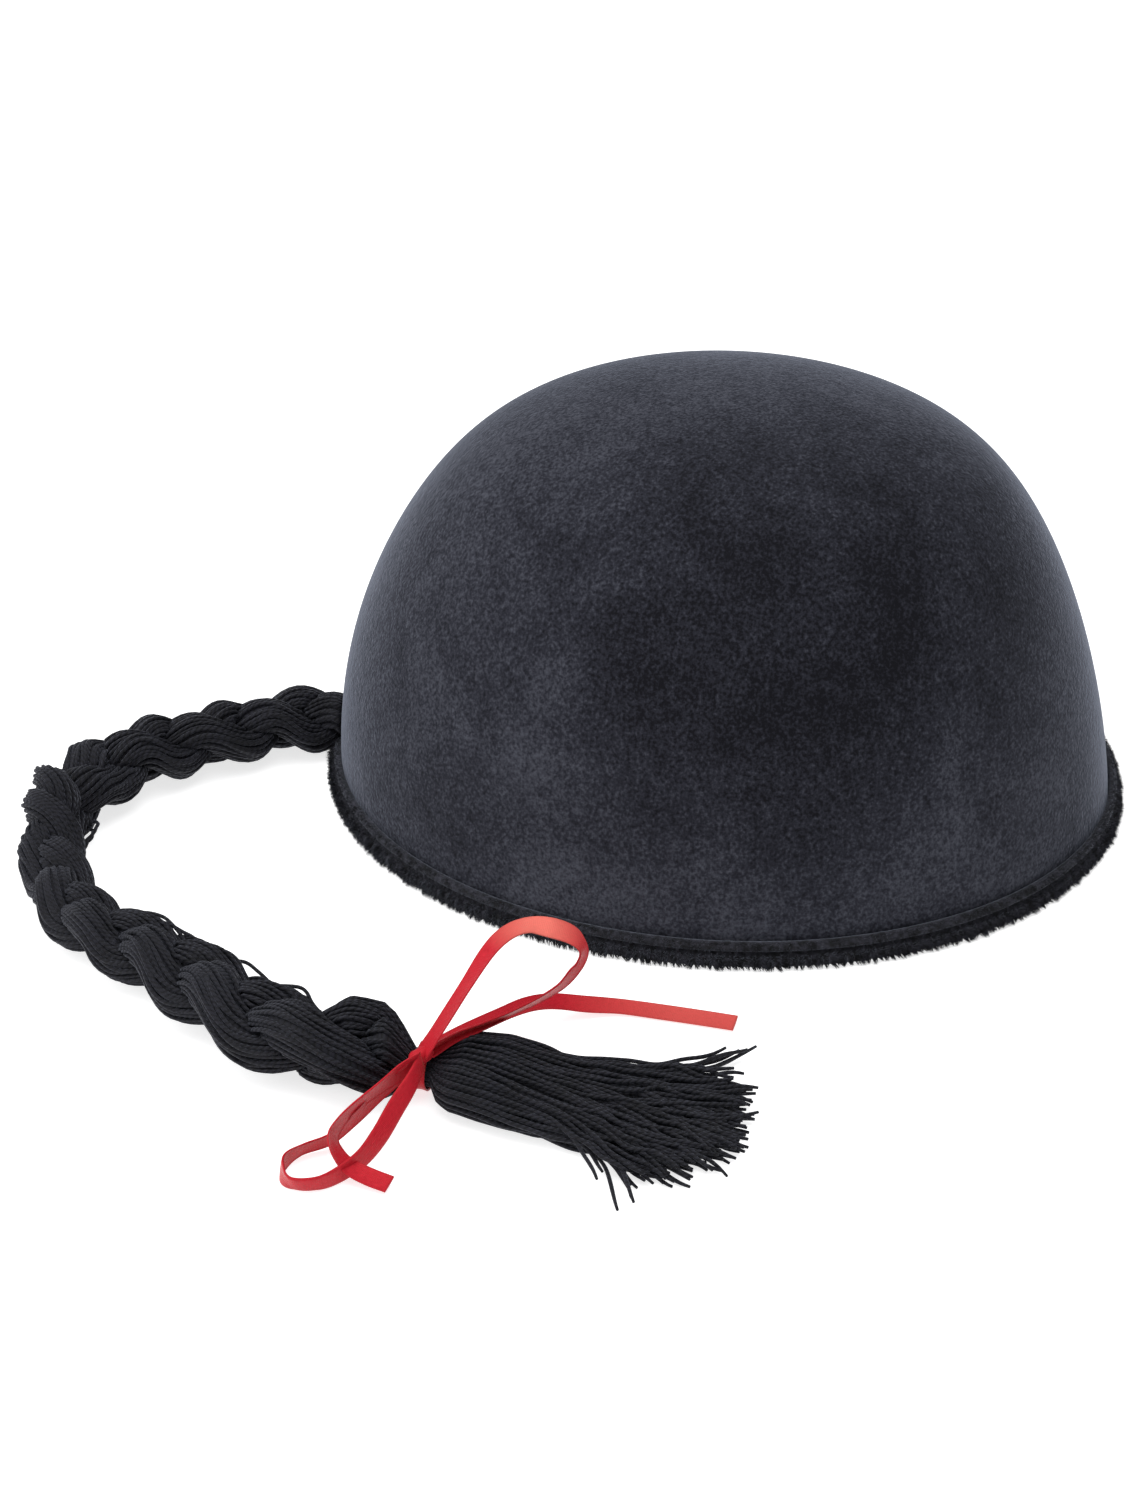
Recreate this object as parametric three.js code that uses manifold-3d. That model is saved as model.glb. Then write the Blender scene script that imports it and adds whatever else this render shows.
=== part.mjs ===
// A velvet skullcap with a bound rim, and a plait of three yarn strands sewn to the back of its
// rim. The plait lies beside the cap on the surface that both rest on, and its free end is a
// tassel of loose yarn, tied off with a narrow ribbon in a bow.
// Millimetres, +Z up, +Y towards the back of the head. The cap stands on z = 0 round the origin.

import * as THREE from "three";
import { mergeVertices } from "three/addons/utils/BufferGeometryUtils.js";
import Module from "manifold-3d";

const wasm = await Module();
wasm.setup();

// Cap
const CAP_LENGTH = 208; // front to back, over the binding
const CAP_WIDTH = 182; // side to side, over the binding
const CROWN_HEIGHT = 110.8; // from the surface to the top of the crown
const CROWN_WALL = 2.5; // velvet and the felt body under it
const CROWN_FLATTENING = 0.26; // 0 is a half ellipse from the side, and more is fuller at the shoulder
const SHOULDER_POWER = 12; // the sharpness of that shoulder
const BINDING_HEIGHT = 7; // from the surface to the top of the sewn ridge
const BINDING_PROUD = 3.5; // how far its roll stands out from the crown
const BINDING_CLOTH = 1.2; // the strip where it passes under the rim and up inside
const BINDING_TURN_UP = 6; // height of the strip inside the crown

// Plait
const STRAND_WIDTH = 12.8; // one strand by itself, where the plait is at its fullness 1
const STRAND_THICKNESS = 9.4;
const PLAIT_SWAY = 4.9; // how far a strand's middle sways to each side of the plait
const PLAIT_RISE = 3.7; // how far it rises and sinks where it passes over and under
const PLAIT_PITCH = 60; // length in which a strand comes back to its side
const PLAIT_START_TURN = 20; // degrees of the pattern at the cap

// Tassel
const TASSEL_LENGTH = 76; // from the ribbon to the tips
const TASSEL_WIDTH = 62; // across the tips
const TASSEL_HEADING = -93; // degrees from +X, in plan
const LOCK_THICKNESS = 6.4; // one lock of yarn where it leaves the head of the tassel

// Ribbon
const RIBBON_WIDTH = 6;
const RIBBON_THICKNESS = 1;
const KNOT_SIZE = 9; // across the knot of the bow

// Clearances
const PIECE_GAP = 0.3; // between pieces that touch
const SURFACE_GAP = 0.2; // under what lies on the surface

// Fineness of the faceted surfaces
const CAP_SIDES = 48;
const CROWN_RINGS = 10;
const STRAND_SIDES = 8;
const STRAND_STEPS = 45;
const HEAD_SIDES = 20;
const LOCK_SIDES = 6;
const LOCK_STEPS = 4;
const RIBBON_STEPS = 2;

// Colours and finish
const velvet = new THREE.MeshStandardMaterial({ color: 0x2b303a, roughness: 0.95, metalness: 0 });
const pile = new THREE.MeshStandardMaterial({ color: 0x15171c, roughness: 0.95, metalness: 0 });
const yarn = new THREE.MeshStandardMaterial({ color: 0x17181d, roughness: 0.85, metalness: 0 });
const satin = new THREE.MeshStandardMaterial({ color: 0xc8242c, roughness: 0.4, metalness: 0 });

// The route of the plait's middle, in plan, from the point where it leaves the cap's back.
const PLAIT_ROUTE = [
  [-6, -6],
  [-6, 0],
  [-7, 8],
  [-10.5, 16.5],
  [-18.5, 26.5],
  [-27, 37.2],
  [-35.5, 46],
  [-48.2, 52.3],
  [-63, 55.7],
  [-78.5, 54.2],
  [-92.3, 48.6],
  [-106.6, 40],
  [-116, 31],
  [-121.8, 22],
  [-126.6, 13.6],
  [-132, 4.5],
  [-138.8, -5],
  [-146, -15.6],
  [-151.6, -26],
  [-154.8, -36],
  [-155.6, -45.5],
  [-155.1, -54],
  [-155.5, -61],
];

// Along the plait: at is a share of its length, full a share of the strand's full size, pitch a
// share of the plait's pitch, turned how far it lies on its other face, and lifted a share of
// the ribbon's thickness that it has under it. It turns over in its bend.
const PLAIT_SECTIONS = [
  { at: 0, full: 0.82, pitch: 0.98, turned: 1, lifted: 0 },
  { at: 0.28, full: 0.82, pitch: 0.98, turned: 1, lifted: 0 },
  { at: 0.36, full: 0.84, pitch: 0.92, turned: 0.8, lifted: 0 },
  { at: 0.44, full: 0.88, pitch: 0.88, turned: 0.3, lifted: 0 },
  { at: 0.5, full: 0.92, pitch: 0.92, turned: 0, lifted: 0 },
  { at: 0.58, full: 0.98, pitch: 1, turned: 0, lifted: 0 },
  { at: 0.7, full: 1.08, pitch: 1.18, turned: 0, lifted: 0 },
  { at: 0.8, full: 1.12, pitch: 1.3, turned: 0, lifted: 0 },
  { at: 0.88, full: 1.12, pitch: 1.34, turned: 0, lifted: 0 },
  { at: 0.95, full: 0.95, pitch: 1.4, turned: 0, lifted: 0.5 },
  { at: 1, full: 0.62, pitch: 1.36, turned: 0, lifted: 1 },
];

// Along the tassel from the ribbon to the tips: along is a share of its length, wide a share of
// its width, and thick a share of the plait's thickness where the ribbon ties it.
const TASSEL_SECTIONS = [
  { along: 0.05, wide: 0.34, thick: 1.18 },
  { along: 0.12, wide: 0.45, thick: 1.27 },
  { along: 0.24, wide: 0.55, thick: 1.23 },
  { along: 0.4, wide: 0.61, thick: 1.0 },
  { along: 0.58, wide: 0.69, thick: 0.76 },
  { along: 0.8, wide: 0.85, thick: 0.54 },
  { along: 1, wide: 1, thick: 0.4 },
];
const HEAD_ENDS_AT = 0.58;
const LOCKS_START_AT = 0.35;
const LOCK_TAPER = 0.7; // share of its thickness that a lock loses on the way to its tip

// The two layers of locks. Each number is how far a lock falls short of the tips, from the side
// nearer the cap to the other.
const LOWER_LOCKS = [0.13, 0.04, 0.05, 0.0, 0.02, 0.0, 0.05, 0.03, 0.16];
const UPPER_LOCKS = [0.16, 0.1, 0.12, 0.06, 0.11, 0.07, 0.13, 0.2];

// The bow: x and y from the middle of the tie, z from the surface, then the way that the
// ribbon's width points.
const STANDING_LOOP = [
  [-3, -1.5, 15.5, -0.1, -0.9, -0.4],
  [-1.2, -7, 23, 0, -0.9, -0.4],
  [7.8, -11.7, 30, -0.1, -0.9, -0.4],
  [18.5, -15.9, 35, -0.5, -0.9, -0.1],
  [24, -20.4, 37, -0.6, -0.6, 0.5],
  [25.6, -26, 37, -0.1, -0.1, 1],
  [27.4, -32.4, 34, -0.3, -0.4, 0.9],
  [29.4, -34.4, 28, -0.3, -0.2, 0.9],
  [30, -31.8, 21, -0.4, -0.1, 0.9],
  [27.5, -25.5, 15.5, -0.4, -0.1, 0.9],
  [19, -17.8, 14.6, -0.4, -0.1, 0.9],
  [8, -10, 15.2, -0.4, -0.1, 0.9],
  [-1, -3, 15.5, -0.3, -0.3, 0.9],
];
const FAR_TAIL = [
  [-1, -1.5, 15.2, -0.3, -0.3, 0.9],
  [8, -8, 14.4, -0.4, -0.1, 0.9],
  [20, -13.5, 12, -0.4, -0.1, 0.9],
  [32, -17.5, 8, -0.3, -0.1, 0.9],
  [40, -24, 4.8, -0.3, -0.1, 0.9],
  [44.5, -33.5, 3.4, -0.3, -0.1, 0.9],
  [45.2, -45, 3.2, -0.3, -0.1, 0.9],
  [44.7, -56, 3.2, -0.3, -0.1, 0.9],
  [43.3, -67.2, 3.3, -0.3, -0.1, 1],
];
const LYING_LOOP = [
  [-3.5, -0.5, 15.5, -0.8, -0.5, -0.3],
  [-9.6, 2.2, 11.5, -0.7, -0.7, -0.2],
  [-14.6, 6.2, 7.6, -0.9, -0.5, 0],
  [-19.5, 10.6, 5, -0.9, -0.3, 0.2],
  [-26.5, 14.8, 3.6, -0.9, 0.1, 0.3],
  [-33.5, 19.8, 3.3, -1, -0.1, 0.1],
  [-39.4, 22, 3.2, -0.9, -0.3, 0],
  [-44.8, 19, 3.2, -0.9, -0.3, 0],
  [-44.8, 13.8, 3.2, -1, -0.3, 0],
  [-40, 9, 3.2, -0.9, -0.4, -0.1],
  [-31.4, 6.1, 4, -0.7, -0.7, -0.1],
  [-21, 3.4, 6.5, -0.5, -0.9, -0.1],
  [-13.1, 0.6, 11, -0.3, -0.9, -0.1],
  [-3, -1.6, 15, -0.3, -0.9, -0.1],
];
const NEAR_TAIL = [
  [-3.2, 0.9, 15.6, -0.2, 0.5, 0.9],
  [-10.8, 4.6, 15, -0.2, 0.4, 0.9],
  [-18.8, 9.6, 13, -0.3, 0.5, 0.8],
  [-26.4, 12.6, 11, -0.6, 0.5, 0.6],
  [-33.5, 12.5, 9, -0.9, 0.1, 0.5],
  [-38.1, 9.2, 7.2, -0.6, -0.3, 0.7],
  [-40.2, 4.6, 5.6, -0.4, -0.4, 0.9],
  [-40, 0.4, 4.2, -0.3, -0.3, 0.9],
  [-39.5, -3.7, 3.4, -0.3, -0.3, 0.9],
];

const UP = new THREE.Vector3(0, 0, 1);

// The value of one column of a table at a place between its rows.
function between(table, place, key, column) {
  const after = table.findIndex((row) => row[key] >= place);
  if (after <= 0) {
    return table[after === 0 ? 0 : table.length - 1][column];
  }
  const [low, high] = [table[after - 1], table[after]];
  const share = (place - low[key]) / (high[key] - low[key]);
  return THREE.MathUtils.lerp(low[column], high[column], share);
}

// A closed surface through rings of points that run clockwise seen from the first ring's end.
// Each end is closed from its middle, or with loop the last ring meets the first.
function skin(rings, loop = false) {
  const positions = [];
  const face = (a, b, c) => {
    if (a.distanceTo(b) > 1e-6 && b.distanceTo(c) > 1e-6 && c.distanceTo(a) > 1e-6) {
      positions.push(...a, ...b, ...c);
    }
  };
  rings.forEach((ring, i) => {
    if (i === rings.length - 1 && !loop) {
      return;
    }
    const next = rings[(i + 1) % rings.length];
    ring.forEach((point, j) => {
      const k = (j + 1) % ring.length;
      face(point, next[k], ring[k]);
      face(point, next[j], next[k]);
    });
  });
  if (!loop) {
    endFan(rings[0], (middle, a, b) => face(middle, a, b));
    endFan(rings[rings.length - 1], (middle, a, b) => face(middle, b, a));
  }
  const geometry = new THREE.BufferGeometry();
  geometry.setAttribute("position", new THREE.Float32BufferAttribute(positions, 3));
  return mergeVertices(geometry, 1e-4);
}

// A fan of triangles over a ring.
function endFan(ring, face) {
  const middle = ring.reduce((sum, p) => sum.add(p), new THREE.Vector3()).divideScalar(ring.length);
  ring.forEach((point, j) => face(middle, point, ring[(j + 1) % ring.length]));
}

// A geometry as a solid that can be joined and cut, and back.
function solidOf(geometry) {
  const bare = geometry.clone();
  bare.deleteAttribute("normal");
  bare.deleteAttribute("uv");
  const merged = mergeVertices(bare, 1e-4);
  const vertProperties = new Float32Array(merged.getAttribute("position").array);
  const triVerts = new Uint32Array(merged.getIndex().array);
  return new wasm.Manifold(new wasm.Mesh({ numProp: 3, vertProperties, triVerts }));
}

function geometryOf(solid) {
  const mesh = solid.getMesh();
  const geometry = new THREE.BufferGeometry();
  geometry.setAttribute("position", new THREE.BufferAttribute(mesh.vertProperties, 3));
  geometry.setIndex(new THREE.BufferAttribute(mesh.triVerts, 1));
  geometry.computeVertexNormals();
  return geometry;
}

function joined(geometries) {
  return geometryOf(geometries.map(solidOf).reduce((sum, next) => sum.add(next)));
}

// A ring of the cap's oval at a height, with its two half axes.
function ovalRing(halfWidth, halfLength, z) {
  return Array.from({ length: CAP_SIDES }, (_, j) => {
    const turn = (2 * Math.PI * j) / CAP_SIDES;
    return new THREE.Vector3(halfWidth * Math.cos(turn), halfLength * Math.sin(turn), z);
  });
}

// The share of its width at the rim that the crown still has at a share of its height.
function crownShare(up) {
  const round = (1 - CROWN_FLATTENING) * up ** 2 + CROWN_FLATTENING * up ** SHOULDER_POWER;
  return Math.sqrt(Math.max(0, 1 - round));
}

// The rings of one face of the crown, from its lower edge to its top. A face lies a depth inside
// the crown's outer face, and one ring is level with the top of the binding.
function crownRings(depth, edge) {
  const inset = BINDING_PROUD + depth;
  const height = CROWN_HEIGHT - depth;
  const low = Math.asin(Math.max(edge, BINDING_HEIGHT) / height);
  const climbs = Array.from({ length: CROWN_RINGS + 1 }, (_, i) => {
    return low + ((Math.PI / 2 - low) * i) / CROWN_RINGS;
  });
  return [Math.asin(edge / height), ...climbs].map((climb, i) => {
    const up = Math.sin(climb);
    const share = i > CROWN_RINGS ? 0 : crownShare(up);
    return ovalRing((CAP_WIDTH / 2 - inset) * share, (CAP_LENGTH / 2 - inset) * share, height * up);
  });
}

// The crown is a thin dome, open below, whose edge stands in the fold of the binding.
function crown() {
  const edge = BINDING_CLOTH + PIECE_GAP;
  const outer = crownRings(0, edge);
  const inner = crownRings(CROWN_WALL, edge);
  return skin([...outer.reverse(), ...inner]);
}

// The binding is a strip of pile cloth folded round the crown's edge: outside a thick roll, a
// groove where it is sewn down and a ridge above it, inside a plain turn up.
// in is a share of the outer layer's thickness, and up a share of the binding's height.
const BINDING_FACE = [
  { in: 0.3, up: 0 },
  { in: 0.08, up: 0.11 },
  { in: 0, up: 0.34 },
  { in: 0.14, up: 0.54 },
  { in: 0.56, up: 0.64 },
  { in: 0.27, up: 0.74 },
  { in: 0.24, up: 0.86 },
  { in: 0.5, up: 0.97 },
  { in: 0.85, up: 1 },
];

function rimBinding() {
  const outerLayer = BINDING_PROUD - PIECE_GAP;
  const foldInside = BINDING_PROUD + CROWN_WALL + 2 * PIECE_GAP;
  const section = [
    ...BINDING_FACE.map((row) => [row.in * outerLayer, row.up * BINDING_HEIGHT]),
    [outerLayer, BINDING_HEIGHT - PIECE_GAP],
    [outerLayer, BINDING_CLOTH],
    [foldInside, BINDING_CLOTH],
    [foldInside, BINDING_TURN_UP],
    [foldInside + BINDING_CLOTH, BINDING_TURN_UP],
    [foldInside + BINDING_CLOTH, 0],
  ];
  const rings = section.map(([inset, z]) =>
    ovalRing(CAP_WIDTH / 2 - inset, CAP_LENGTH / 2 - inset, z),
  );
  return skin(rings.reverse(), true);
}

// The room that the cap takes, with the clearance round it, for what is sewn against it.
function capRoom() {
  const top = BINDING_HEIGHT + PIECE_GAP;
  const wide = CAP_WIDTH / 2 + PIECE_GAP;
  const long = CAP_LENGTH / 2 + PIECE_GAP;
  const crownAbove = crownRings(-PIECE_GAP, top).slice(1).reverse();
  return solidOf(skin([...crownAbove, ovalRing(wide, long, top), ovalRing(wide, long, -top)]));
}

// Half of one strand's size at fullness 1.
const STRAND_HALF = { wide: STRAND_WIDTH / 2, high: STRAND_THICKNESS / 2 };

// The middles of the three strands across the plait, at fullness 1. Each sways from side to side
// once and rises and sinks twice in a turn of the pattern, a third of it behind the next.
function strandMiddles(turn) {
  return [0, 1, 2].map((number) => {
    const phase = turn + (2 * Math.PI * number) / 3;
    return new THREE.Vector2(PLAIT_SWAY * Math.sin(phase), PLAIT_RISE * Math.sin(2 * phase));
  });
}

// The height of the plait's middle over what it lies on, at fullness 1, turned by an angle.
function restingHeight(roll) {
  const sways = Array.from({ length: 72 }, (_, i) => {
    const phase = (2 * Math.PI * i) / 72;
    const side = PLAIT_SWAY * Math.sin(phase) * Math.sin(roll);
    return side + PLAIT_RISE * Math.sin(2 * phase) * Math.cos(roll);
  });
  const strandHalf = Math.hypot(STRAND_HALF.wide * Math.sin(roll), STRAND_HALF.high * Math.cos(roll));
  return Math.max(...sways) + strandHalf;
}

// Stations along the plait: its middle, the directions across it and over it, its fullness and
// the turn of its pattern.
function plaitStations() {
  const points = PLAIT_ROUTE.map(([x, y]) => new THREE.Vector3(x, CAP_LENGTH / 2 + y, 0));
  const curve = new THREE.CatmullRomCurve3(points, false, "catmullrom", 0.5);
  curve.arcLengthDivisions = 2000;
  const step = curve.getLength() / STRAND_STEPS;
  let turn = THREE.MathUtils.degToRad(PLAIT_START_TURN);
  return Array.from({ length: STRAND_STEPS + 1 }, (_, i) => {
    const at = i / STRAND_STEPS;
    const [full, pitch, turned, lifted] = ["full", "pitch", "turned", "lifted"].map((column) =>
      between(PLAIT_SECTIONS, at, "at", column),
    );
    const ahead = curve.getTangentAt(at);
    const roll = Math.PI * turned;
    const middle = curve.getPointAt(at);
    middle.z = SURFACE_GAP + full * restingHeight(roll) + lifted * (RIBBON_THICKNESS + PIECE_GAP);
    const level = new THREE.Vector3().crossVectors(UP, ahead).normalize();
    const across = level.clone().applyAxisAngle(ahead, roll);
    const over = UP.clone().applyAxisAngle(ahead, roll);
    const station = { middle, across, over, full, turn };
    turn += (2 * Math.PI * step) / (PLAIT_PITCH * pitch);
    return station;
  });
}

// The outline of one strand across the plait, at fullness 1, in shares of its half size from its
// middle: round, and pressed flat halfway to each neighbour that it meets, less a gap. grown is
// how much wider than the strand it is all round.
function strandOutline(middles, number, gap, grown) {
  const shares = middles.map((m) => new THREE.Vector2(m.x / STRAND_HALF.wide, m.y / STRAND_HALF.high));
  const neighbours = shares
    .filter((_, other) => other !== number)
    .map((other) => other.clone().sub(shares[number]));
  return Array.from({ length: STRAND_SIDES }, (_, j) => {
    const angle = (-2 * Math.PI * (j + 0.5)) / STRAND_SIDES;
    const out = new THREE.Vector2(Math.cos(angle), Math.sin(angle));
    const reaches = neighbours.map((to) => {
      const facing = out.dot(to) / to.length();
      return facing > 0 ? (to.length() / 2 - gap + grown) / facing : Infinity;
    });
    return shares[number].clone().addScaledVector(out, Math.min(1 + grown, ...reaches));
  });
}

// One strand as a solid, grown all round by a clearance where it is to be cut from another.
function strandSolid(stations, number, clearance) {
  const rings = stations.map(({ middle, across, over, full, turn }) => {
    const half = full * STRAND_HALF.high;
    const outline = strandOutline(strandMiddles(turn), number, PIECE_GAP / 2 / half, clearance / half);
    return outline.map((point) =>
      middle
        .clone()
        .addScaledVector(across, full * STRAND_HALF.wide * point.x)
        .addScaledVector(over, full * STRAND_HALF.high * point.y),
    );
  });
  return solidOf(skin(rings));
}

// The three strands. Their first ends are trimmed to the cap that they are sewn to, and between
// two stations a strand gives way to the ones before it.
function strands() {
  const stations = plaitStations();
  const room = [capRoom()];
  return [0, 1, 2].map((number) => {
    const whole = strandSolid(stations, number, 0);
    const trimmed = room.reduce((left, other) => left.subtract(other), whole);
    room.push(strandSolid(stations, number, PIECE_GAP));
    return geometryOf(trimmed);
  });
}

// The waist where the ribbon ties the plait, half its width and height.
const WAIST_FULLNESS = PLAIT_SECTIONS[PLAIT_SECTIONS.length - 1].full;
const WAIST = {
  wide: WAIST_FULLNESS * (PLAIT_SWAY + STRAND_HALF.wide),
  high: WAIST_FULLNESS * restingHeight(0),
};
const NECK_LENGTH = RIBBON_WIDTH + 2 * PIECE_GAP;

// A tube of flattened round section along centres, each with its own half width and height.
function flatTube(stations, sides) {
  const rings = stations.map(({ centre, wide, high }, i) => {
    const before = stations[Math.max(0, i - 1)].centre;
    const after = stations[Math.min(stations.length - 1, i + 1)].centre;
    const ahead = after.clone().sub(before).normalize();
    const across = new THREE.Vector3().crossVectors(UP, ahead).normalize();
    const over = new THREE.Vector3().crossVectors(ahead, across);
    return Array.from({ length: sides }, (_, j) => {
      const turn = (-2 * Math.PI * (j + 0.5)) / sides;
      return centre
        .clone()
        .addScaledVector(across, wide * Math.cos(turn))
        .addScaledVector(over, high * Math.sin(turn));
    });
  });
  return skin(rings);
}

// The group in which the tassel and the bow are laid out: its origin is on the surface below the
// end of the plait, and its +Y points along the tassel.
function tasselPlace() {
  const [x, y] = PLAIT_ROUTE[PLAIT_ROUTE.length - 1];
  const place = new THREE.Group();
  place.position.set(x, CAP_LENGTH / 2 + y, 0);
  place.rotation.z = THREE.MathUtils.degToRad(TASSEL_HEADING - 90);
  return place;
}

// Half width and half height of the tassel at a share of its length.
function tasselHalf(along) {
  return {
    wide: (TASSEL_WIDTH / 2) * between(TASSEL_SECTIONS, along, "along", "wide"),
    high: WAIST.high * between(TASSEL_SECTIONS, along, "along", "thick"),
  };
}

function tasselHead() {
  const start = NECK_LENGTH + PIECE_GAP;
  const neckZ = SURFACE_GAP + RIBBON_THICKNESS + PIECE_GAP + WAIST.high;
  const stations = [
    { centre: new THREE.Vector3(0, PIECE_GAP, neckZ), ...WAIST },
    { centre: new THREE.Vector3(0, start, neckZ), ...WAIST },
  ];
  TASSEL_SECTIONS.filter((row) => row.along <= HEAD_ENDS_AT).forEach((row) => {
    const half = tasselHalf(row.along);
    const y = start + row.along * TASSEL_LENGTH;
    stations.push({ centre: new THREE.Vector3(0, y, SURFACE_GAP + half.high), ...half });
  });
  return flatTube(stations, HEAD_SIDES);
}

// A lock starts inside the head and runs out to its tip. side is from -1 to 1 across the tassel,
// and an upper lock lies on top of the tassel where a lower one lies on the surface.
function lock(side, short, upper) {
  const to = 1 - short;
  const stations = Array.from({ length: LOCK_STEPS + 1 }, (_, i) => {
    const along = THREE.MathUtils.lerp(LOCKS_START_AT, to, i / LOCK_STEPS);
    const half = tasselHalf(along);
    const thick = (LOCK_THICKNESS / 2) * (1 - LOCK_TAPER * (i / LOCK_STEPS) ** 2);
    const high = Math.min(thick, half.high);
    const z = SURFACE_GAP + (upper ? 2 * half.high - high : high);
    const y = NECK_LENGTH + PIECE_GAP + along * TASSEL_LENGTH;
    return { centre: new THREE.Vector3(-side * (half.wide - thick), y, z), wide: thick, high };
  });
  return flatTube(stations, LOCK_SIDES);
}

function layer(shortfalls, upper) {
  const last = shortfalls.length - 1;
  return shortfalls.map((short, i) => lock((2 * i) / last - 1, short, upper));
}

function tassel() {
  return joined([tasselHead(), ...layer(LOWER_LOCKS, false), ...layer(UPPER_LOCKS, true)]);
}

// A length of ribbon through rows of the bow, from one row to the next in a few steps.
function ribbonLength(rows) {
  const middle = new THREE.CatmullRomCurve3(rows.map((row) => new THREE.Vector3(...row.slice(0, 3))));
  const width = new THREE.CatmullRomCurve3(rows.map((row) => new THREE.Vector3(...row.slice(3))));
  const steps = (rows.length - 1) * RIBBON_STEPS;
  const rings = Array.from({ length: steps + 1 }, (_, i) => {
    const ahead = middle.getTangent(i / steps);
    const across = width.getPoint(i / steps).projectOnPlane(ahead).setLength(RIBBON_WIDTH / 2);
    const through = new THREE.Vector3().crossVectors(ahead, across).setLength(RIBBON_THICKNESS / 2);
    return [[1, 1], [1, -1], [-1, -1], [-1, 1]].map(([a, b]) =>
      middle.getPoint(i / steps).addScaledVector(across, a).addScaledVector(through, b),
    );
  });
  return skin(rings);
}

// The ribbon passes once round the waist, flat against it.
function ribbonRound() {
  const rest = SURFACE_GAP + RIBBON_THICKNESS + PIECE_GAP + WAIST.high;
  const start = 2 * PIECE_GAP;
  const corners = [[0, 0], [RIBBON_THICKNESS, 0], [RIBBON_THICKNESS, RIBBON_WIDTH], [0, RIBBON_WIDTH]];
  const rings = corners.map(([out, y]) => {
    const [wide, high] = [WAIST.wide + PIECE_GAP + out, WAIST.high + PIECE_GAP + out];
    return Array.from({ length: HEAD_SIDES }, (_, j) => {
      const turn = (2 * Math.PI * j) / HEAD_SIDES;
      return new THREE.Vector3(wide * Math.cos(turn), start + y, rest + high * Math.sin(turn));
    });
  });
  return skin(rings, true);
}

// The knot sits on the ribbon over the waist, a little to the side that the bow falls to.
function knot() {
  const top = SURFACE_GAP + 2 * (RIBBON_THICKNESS + PIECE_GAP + WAIST.high);
  const half = { x: KNOT_SIZE / 2, y: 0.4 * KNOT_SIZE, z: 0.25 * KNOT_SIZE };
  const shape = new THREE.SphereGeometry(1, 12, 8);
  shape.scale(half.x, half.y, half.z);
  shape.translate(0.4 * half.x, NECK_LENGTH / 2, top + half.z - RIBBON_THICKNESS / 2);
  return shape;
}

// The bow's rows are in plan round the tie, so they are turned into the tassel's own place.
function bowLength(rows) {
  const back = THREE.MathUtils.degToRad(90 - TASSEL_HEADING);
  const middle = new THREE.Vector3(0, NECK_LENGTH / 2, 0);
  return ribbonLength(rows).rotateZ(back).translate(...middle);
}

function ribbonBow() {
  const lengths = [STANDING_LOOP, FAR_TAIL, LYING_LOOP, NEAR_TAIL].map(bowLength);
  return joined([ribbonRound(), knot(), ...lengths]);
}

function mesh(name, geometry, material) {
  geometry.computeVertexNormals();
  const made = new THREE.Mesh(geometry, material);
  made.name = name;
  return made;
}

const cap = new THREE.Group();
cap.add(mesh("crown", crown(), velvet), mesh("rim_binding", rimBinding(), pile));

const plait = new THREE.Group();
strands().forEach((geometry, i) => plait.add(mesh(`braid_strand_${i + 1}`, geometry, yarn)));

const tail = tasselPlace();
tail.add(mesh("tassel", tassel(), yarn), mesh("ribbon_bow", ribbonBow(), satin));

const group = new THREE.Group();
group.add(cap, plait, tail);
export default group;
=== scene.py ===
import bpy
import numpy as np
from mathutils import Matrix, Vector


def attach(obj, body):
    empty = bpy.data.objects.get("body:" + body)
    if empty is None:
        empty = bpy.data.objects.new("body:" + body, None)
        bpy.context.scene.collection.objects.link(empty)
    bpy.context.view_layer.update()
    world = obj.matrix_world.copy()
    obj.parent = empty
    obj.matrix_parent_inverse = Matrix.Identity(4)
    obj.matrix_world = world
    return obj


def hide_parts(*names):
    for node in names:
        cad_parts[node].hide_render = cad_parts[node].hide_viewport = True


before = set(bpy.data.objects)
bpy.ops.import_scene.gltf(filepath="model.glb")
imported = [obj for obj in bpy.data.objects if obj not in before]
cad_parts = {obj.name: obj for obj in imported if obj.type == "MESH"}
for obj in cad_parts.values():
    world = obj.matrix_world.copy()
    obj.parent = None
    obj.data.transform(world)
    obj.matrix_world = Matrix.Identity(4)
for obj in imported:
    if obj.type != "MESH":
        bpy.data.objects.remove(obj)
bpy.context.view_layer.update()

# Camera. It looks at the cap from the wearer's right and about 30 degrees above, through a long
# lens at about a metre and a quarter.
CAMERA_PLACE = (-1.0517, -0.2023, 0.6458)
CAMERA_LOOKS = (0.8371, 0.1933, -0.5113)

lens = bpy.data.cameras.new("camera")
lens.sensor_width = 36
lens.lens = 114.54
lens.clip_start = 0.05
lens.clip_end = 20
camera = bpy.data.objects.new("camera", lens)
camera.location = CAMERA_PLACE
camera.rotation_mode = "QUATERNION"
camera.rotation_quaternion = Vector(CAMERA_LOOKS).to_track_quat("-Z", "Y")
bpy.context.scene.collection.objects.link(camera)
bpy.context.scene.camera = camera


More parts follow.
